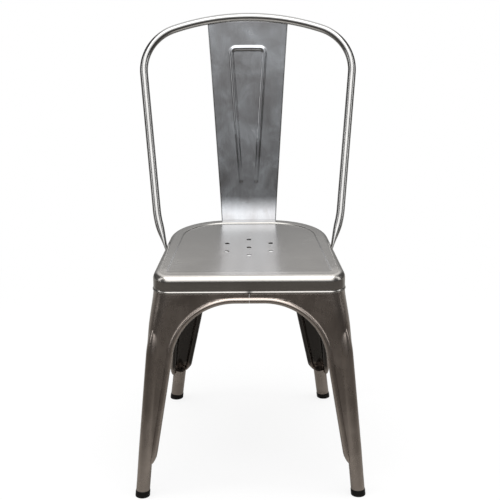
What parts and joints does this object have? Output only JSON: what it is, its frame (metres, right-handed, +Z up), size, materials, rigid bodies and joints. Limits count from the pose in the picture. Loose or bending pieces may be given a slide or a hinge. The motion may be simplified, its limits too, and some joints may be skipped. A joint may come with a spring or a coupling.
{
  "type": "metal bistro chair",
  "caption": "Stacking metal bistro chair: pressed sheet seat with drain holes, splayed pressed legs, bent tube back hoop and a central pressed splat.",
  "frame": {"origin": "floor level, in the middle of the footprint's bounding box", "axes": "+Z up, -Y the way the sitter looks, +X to the right when facing the chair from the front"},
  "size_m": [0.4446, 0.5151, 0.8519],
  "materials": {
    "pressed_steel": "raw brushed steel sheet under clear lacquer, dark and slightly mottled",
    "tube_steel": "raw steel tube under clear lacquer",
    "rivet_steel": "plain steel rivet",
    "foot_plastic": "black moulded plastic"
  },
  "bodies": {
    "root": {"seat_pan": "pressed_steel", "front_right_leg": "pressed_steel", "front_left_leg": "pressed_steel", "rear_right_leg": "pressed_steel", "rear_left_leg": "pressed_steel", "back_splat": "pressed_steel", "cross_brace_upper": "pressed_steel", "cross_brace_lower": "pressed_steel", "back_hoop": "tube_steel", "brace_rivet": "rivet_steel", "front_right_foot": "foot_plastic", "front_left_foot": "foot_plastic", "rear_right_foot": "foot_plastic", "rear_left_foot": "foot_plastic"}
  },
  "joints": []
}
